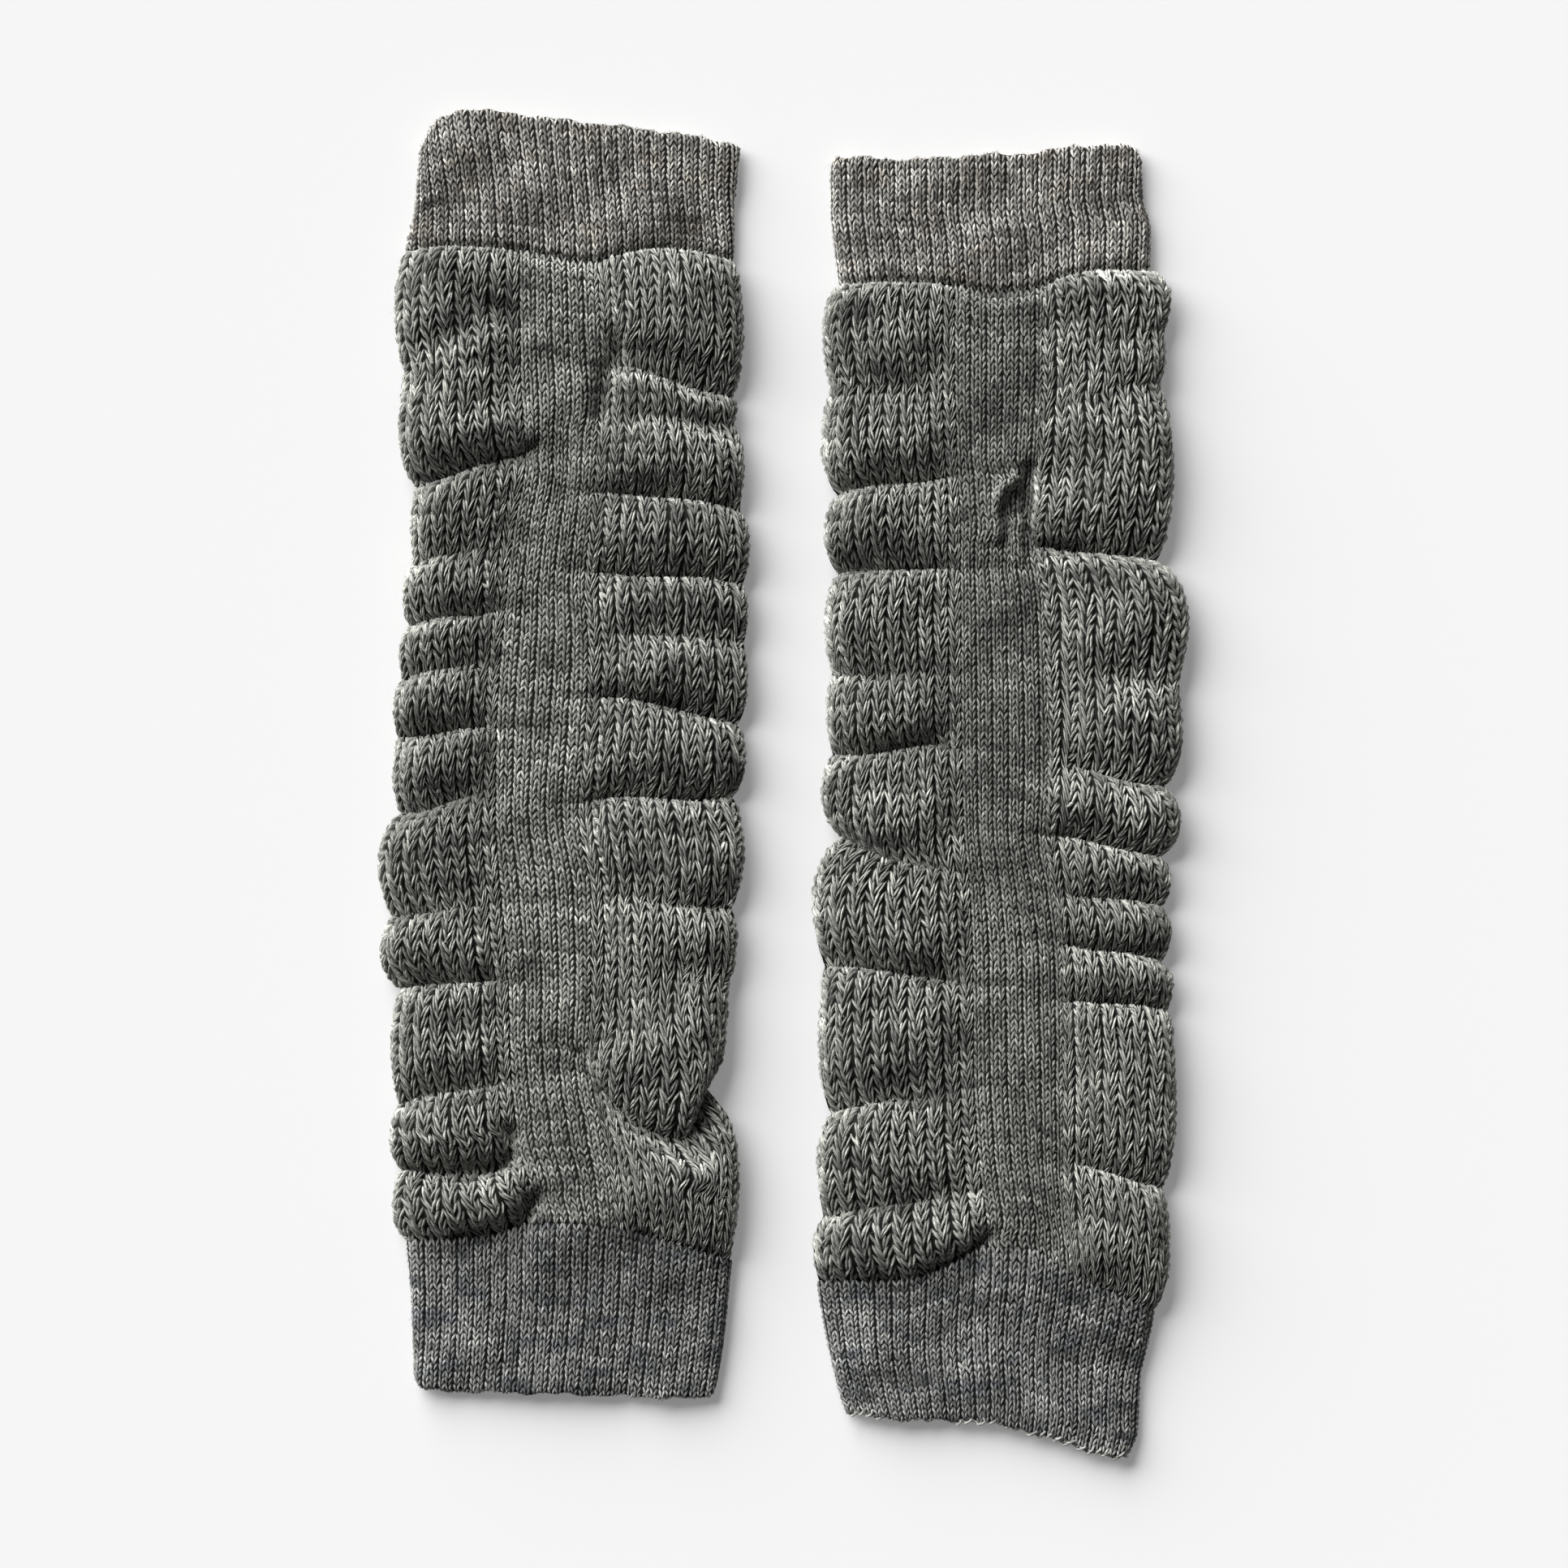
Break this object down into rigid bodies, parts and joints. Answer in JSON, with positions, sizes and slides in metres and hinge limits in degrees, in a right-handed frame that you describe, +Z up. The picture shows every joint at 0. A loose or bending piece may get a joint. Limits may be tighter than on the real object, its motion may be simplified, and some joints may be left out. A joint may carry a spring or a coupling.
{
  "type": "pair of leg warmers",
  "caption": "Two footless knitted leg warmers laid flat side by side, each a fine-knit cuffed tube with chunky side panels gathered along a narrow centre strip.",
  "frame": {"origin": "centre of the pair's plan, on the surface that it lies on", "axes": "+X across both leg warmers, from the left one to the right one as they are seen from above; +Y along them, from the bottom cuffs to the top cuffs; +Z up from the surface"},
  "size_m": [0.2497, 0.4148, 0.012],
  "materials": {
    "cuff_knit": "matt fine knit in grey heather wool",
    "strip_knit": "matt fine knit in grey heather wool",
    "chunky_knit": "matt chunky stocking stitch in grey heather wool"
  },
  "bodies": {
    "root": {"left_top_cuff": "cuff_knit", "left_bottom_cuff": "cuff_knit", "left_front_strip": "strip_knit", "left_back_strip": "strip_knit", "left_outer_panel": "chunky_knit", "left_inner_panel": "chunky_knit", "right_top_cuff": "cuff_knit", "right_bottom_cuff": "cuff_knit", "right_front_strip": "strip_knit", "right_back_strip": "strip_knit", "right_outer_panel": "chunky_knit", "right_inner_panel": "chunky_knit"}
  },
  "joints": []
}
